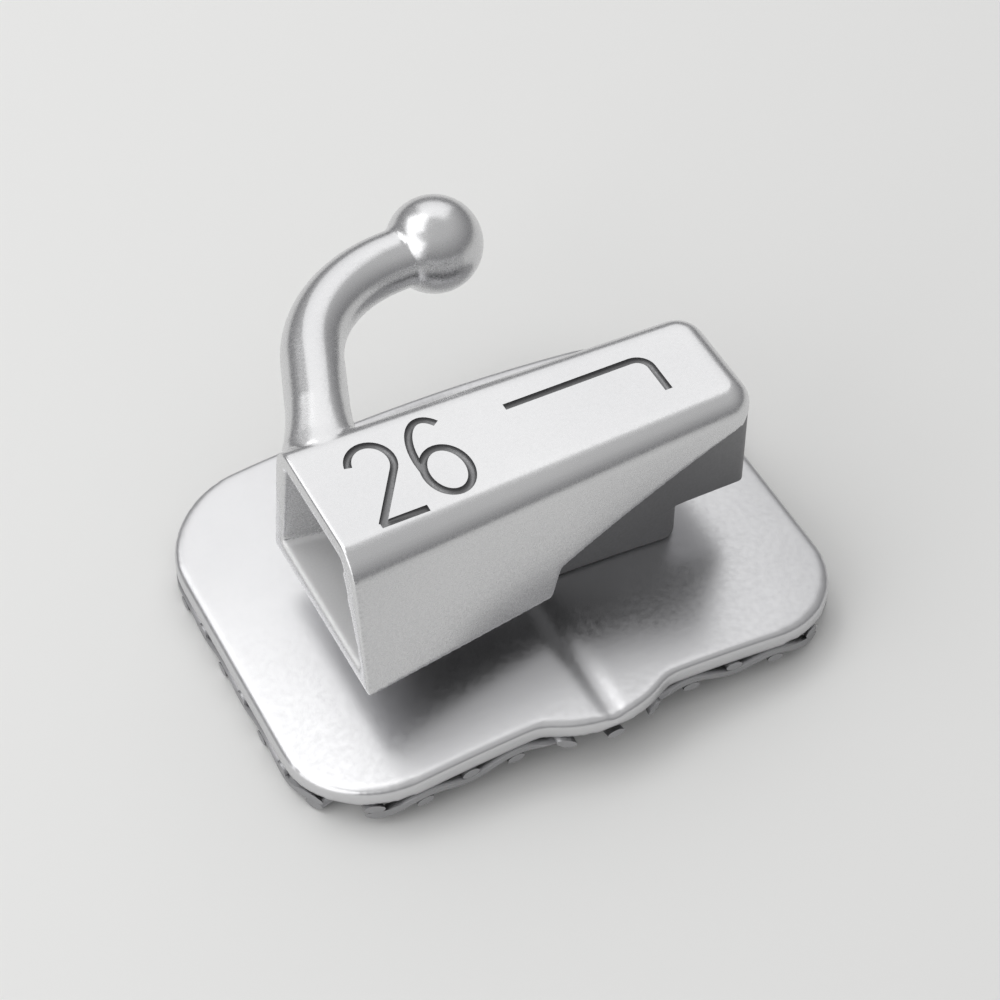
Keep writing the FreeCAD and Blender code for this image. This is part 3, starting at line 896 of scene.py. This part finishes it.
@dataclass
class StampedPlate:
    """The stamped sheet between the casting and the wire cloth. Lengths are in millimetres."""

    thickness: float = 0.18
    cloth: float = 0.17
    groove_width: float = 0.3
    groove_depth: float = 0.04
    voxel: float = 0.026
    tumbling: int = 12
    shading_angle: float = 40.0
    outline: BaseOutline = field(default_factory=BaseOutline)
    contour: Contour = field(default_factory=Contour)
    finish: Finish = PLATE_FINISH

    def build(self) -> bpy.types.Object:
        """Model the plate flat, stamp its crease, soften it, and bend it over the contour.

        Returns:
            The finished plate, in metres.
        """
        plate = self.outline.block("stamped_plate", 0.0, self.thickness)
        Bench.work_in(plate, self.crease(), Join.CUT)
        Bench.tumble(plate, self.voxel, self.tumbling)
        Bench.reshape(plate, lambda at: (at.x, at.y, self.contour.height(at.x, self.cloth + at.z)))
        Bench.bring_to_metres(plate)
        Bench.smooth_shading(plate, self.shading_angle)
        plate.data.materials.append(self.finish.material())
        return plate

    def crease(self) -> bpy.types.Object:
        """The shallow crease from the occlusal edge to the middle."""
        half, top = self.groove_width / 2, self.thickness
        profile = ((-half, top), (0.0, top - self.groove_depth), (half, top), (0.0, top + 0.1))
        return Bench.loft("crease_cutter", [[(x, y, z) for x, z in profile]
                                            for y in (-self.outline.width, 0.0)])


@dataclass
class WireCloth:
    """The woven cloth that the adhesive grips. Lengths are in millimetres."""

    pitch: float = 0.42
    wire_width: float = 0.16
    wire_height: float = 0.09
    thickness: float = 0.17
    ring: int = 12
    steps: int = 8
    shading_angle: float = 50.0
    outline: BaseOutline = field(default_factory=BaseOutline)
    contour: Contour = field(default_factory=Contour)
    finish: Finish = CLOTH_FINISH

    @property
    def rows(self) -> int:
        """Number of wires along the base."""
        return math.ceil((self.outline.width - self.outline.lobe_depth) / self.pitch)

    @property
    def columns(self) -> int:
        """Number of wires across the base."""
        return math.ceil(self.outline.length / self.pitch)

    def build(self) -> bpy.types.Object:
        """Lay both sets of wires, weave them, and bend the cloth over the contour.

        Returns:
            The finished cloth, in metres.
        """
        along, across = self.straight_wires(along_x=True), self.straight_wires(along_x=False)
        for wires, along_x in ((along, True), (across, False)):
            block = self.outline.block("cloth_outline", -self.thickness, self.thickness)
            Bench.modify(wires, "BOOLEAN", operation="INTERSECT", solver="EXACT", object=block)
            bpy.data.objects.remove(block)
            Bench.reshape(wires, lambda at, along_x=along_x: self.woven(at, along_x))
        Bench.pick(along)
        across.select_set(True)
        bpy.ops.object.join()
        along.name = "wire_cloth"
        Bench.bring_to_metres(along)
        Bench.smooth_shading(along, self.shading_angle)
        along.data.materials.append(self.finish.material())
        return along

    def straight_wires(self, along_x: bool) -> bpy.types.Object:
        """One set of parallel straight wires, a little longer than the base.

        Args:
            along_x: Whether they run along X.

        Returns:
            The wires, as one object.
        """
        reach = self.outline.length / 2 + self.pitch
        turns = [2 * math.pi * step / self.ring for step in range(self.ring)]
        count = self.rows if along_x else self.columns
        first = -(count - 1) / 2 * self.pitch + (self.outline.lobe_depth / 2 if along_x else 0.0)
        flat = [(first + self.wire_width / 2 * math.cos(turn), self.wire_height / 2 * math.sin(turn))
                for turn in turns]
        stations = round(2 * reach / self.pitch * self.steps)
        places = [-reach + 2 * reach * step / stations for step in range(stations + 1)]
        wires = Bench.loft("wires", [[(at, across, up) if along_x else (across, at, up) for across, up in flat]
                                     for at in places])
        step = (0.0, self.pitch, 0.0) if along_x else (self.pitch, 0.0, 0.0)
        Bench.modify(wires, "ARRAY", count=count, use_relative_offset=False, use_constant_offset=True,
                     constant_offset_displace=step)
        return wires

    def woven(self, at: Vector, along_x: bool) -> Point:
        """Where a point of a straight wire lies once it is woven.

        Args:
            at: The point on the straight wire.
            along_x: Whether its wire runs along X.

        Returns:
            The point on the woven cloth.
        """
        column = at.x / self.pitch + (self.columns - 1) / 2
        row = (at.y - self.outline.lobe_depth / 2) / self.pitch + (self.rows - 1) / 2
        swing = (self.thickness - self.wire_height) / 2
        if along_x:
            wave = (-1) ** round(row) * math.cos(math.pi * column)
        else:
            wave = -(-1) ** round(column) * math.cos(math.pi * row)
        return (at.x, at.y, self.contour.height(at.x, self.thickness / 2 + swing * wave + at.z))


@dataclass(frozen=True)
class Softbox:
    """A square area light: its place and side in metres, and its power in watts."""

    name: str
    place: Point
    size: float
    power: float


@dataclass
class Studio:
    """A pale floor, soft lights and the camera. Lengths are in metres."""

    azimuth: float = -27.0
    elevation: float = 47.6
    distance: float = 0.0243
    lens: float = 100.0
    target: Point = (0.0001, 0.0003, 0.0009)
    floor_half: float = 0.6
    floor_colour: Point = (0.86, 0.86, 0.85)
    floor_roughness: float = 0.7
    horizon_colour: Point = (0.25, 0.25, 0.26)
    overhead_colour: Point = (0.8, 0.8, 0.8)
    overhead_from: float = 0.8
    world_strength: float = 0.75
    softboxes: tuple[Softbox, ...] = (
        Softbox("key_softbox", (-0.026, 0.024, 0.045), 0.042, 0.0076),
        Softbox("mouth_softbox", (-0.040, -0.006, 0.018), 0.038, 0.006),
        Softbox("overhead_softbox", (0.0153, 0.030, 0.037), 0.045, 0.0042))

    def build(self) -> None:
        """Set up everything around the object."""
        self.lay_floor()
        self.light_world()
        for softbox in self.softboxes:
            self.hang(softbox)
        self.set_camera()
        self.set_view()

    def lay_floor(self) -> None:
        """A plain pale floor under the base."""
        Bench.clear_selection()
        bpy.ops.mesh.primitive_plane_add(size=2 * self.floor_half, location=(0.0, 0.0, 0.0))
        floor = bpy.context.object
        floor.name = "studio_floor"
        material = bpy.data.materials.new("pale_floor")
        material.use_nodes = True
        shader = material.node_tree.nodes["Principled BSDF"]
        shader.inputs["Base Color"].default_value = (*self.floor_colour, 1.0)
        shader.inputs["Roughness"].default_value = self.floor_roughness
        floor.data.materials.append(material)

    def light_world(self) -> None:
        """Surroundings that grow from grey at the horizon to white overhead."""
        world = bpy.data.worlds.new("studio_world")
        bpy.context.scene.world = world
        world.use_nodes = True
        nodes, links = world.node_tree.nodes, world.node_tree.links
        place = nodes.new("ShaderNodeTexCoord")
        split = nodes.new("ShaderNodeSeparateXYZ")
        ramp = nodes.new("ShaderNodeValToRGB")
        links.new(place.outputs["Generated"], split.inputs["Vector"])
        links.new(split.outputs["Z"], ramp.inputs["Fac"])
        ramp.color_ramp.elements[0].position = 0.0
        ramp.color_ramp.elements[0].color = (*self.horizon_colour, 1.0)
        ramp.color_ramp.elements[1].position = self.overhead_from
        ramp.color_ramp.elements[1].color = (*self.overhead_colour, 1.0)
        background = nodes["Background"]
        links.new(ramp.outputs["Color"], background.inputs["Color"])
        background.inputs["Strength"].default_value = self.world_strength

    def hang(self, softbox: Softbox) -> None:
        """Hang a softbox so that it faces the object.

        Args:
            softbox: The light to hang.
        """
        place = Vector(softbox.place)
        bpy.ops.object.light_add(type="AREA", location=place)
        light = bpy.context.object
        light.name = softbox.name
        light.data.size = softbox.size
        light.data.energy = softbox.power
        light.rotation_euler = (Vector(self.target) - place).to_track_quat("-Z", "Y").to_euler()

    def set_camera(self) -> None:
        """Look at the object from the picture's viewing angle."""
        azimuth, elevation = math.radians(self.azimuth), math.radians(self.elevation)
        away = Vector((math.sin(azimuth) * math.cos(elevation), -math.cos(azimuth) * math.cos(elevation),
                       math.sin(elevation)))
        bpy.ops.object.camera_add(location=Vector(self.target) + away * self.distance)
        camera = bpy.context.object
        camera.rotation_euler = (-away).to_track_quat("-Z", "Y").to_euler()
        camera.data.lens = self.lens
        camera.data.clip_start = 0.0005
        camera.data.clip_end = 5.0
        bpy.context.scene.camera = camera

    @staticmethod
    def set_view() -> None:
        """Show colours as they are written."""
        bpy.context.scene.view_settings.view_transform = "Standard"


class Assembly:
    """The finished tube: its three pieces, tied to the frame's nodes, and the studio."""

    def __init__(self) -> None:
        """List the pieces with the frame's nodes that they replace."""
        self.parts: tuple[tuple[object, str], ...] = (
            (Casting(), "tube_body"), (StampedPlate(), "base_pad"), (WireCloth(), "bonding_mesh"))

    def build(self) -> None:
        """Model, place and declare every piece, in order."""
        for part, node in self.parts:
            piece = part.build()
            LOG.info("%s has %d faces", piece.name, len(piece.data.polygons))
            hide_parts(node)
            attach(piece, "root")
        Studio().build()


def main() -> None:
    """Load the frame and build everything on it."""
    logging.basicConfig(level=logging.INFO, format="%(name)s: %(message)s")
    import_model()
    Assembly().build()


if __name__ == "__main__":
    main()
